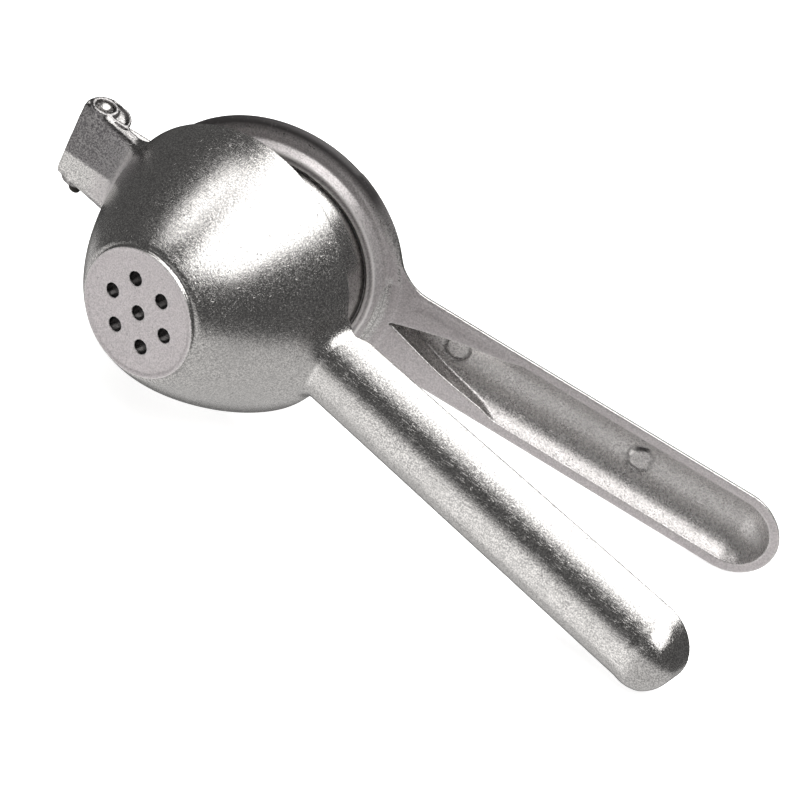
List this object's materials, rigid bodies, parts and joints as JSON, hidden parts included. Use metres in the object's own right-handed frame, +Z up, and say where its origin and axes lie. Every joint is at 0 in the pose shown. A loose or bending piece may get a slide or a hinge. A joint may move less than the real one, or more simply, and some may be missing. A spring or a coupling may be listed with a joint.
{
  "type": "handheld citrus squeezer",
  "caption": "Handheld cast aluminium citrus squeezer: a drained cup with a channel handle, and a hinged domed presser that swings into the cup, lying on its side partly open.",
  "frame": {"origin": "centre of the bounding box's bottom, on the table plane, with the squeezer lying on its side and opened by 15.9 degrees", "axes": "+X towards the tips of the handles, +Z up from the table (the hinge axis leans 10.9 degrees from it), -Y out of the drain disc of the cup"},
  "size_m": [0.2114, 0.1001, 0.0778],
  "materials": {
    "cast_aluminium": "satin, polished casting with pits and worn edges",
    "pin_steel": "plain steel wire, cut ends"
  },
  "bodies": {
    "cup": {"bowl_arm": "cast_aluminium", "hinge_pin": "pin_steel"},
    "presser": {"presser_arm": "cast_aluminium"}
  },
  "joints": [
    {"name": "presser_hinge", "type": "hinge", "parent": "cup", "child": "presser", "pos_m": [-0.09848, -0.01236, 0.04861], "axis": [0.1899, 0.0058, 0.9818], "range_deg": [-15.8, 100]}
  ]
}
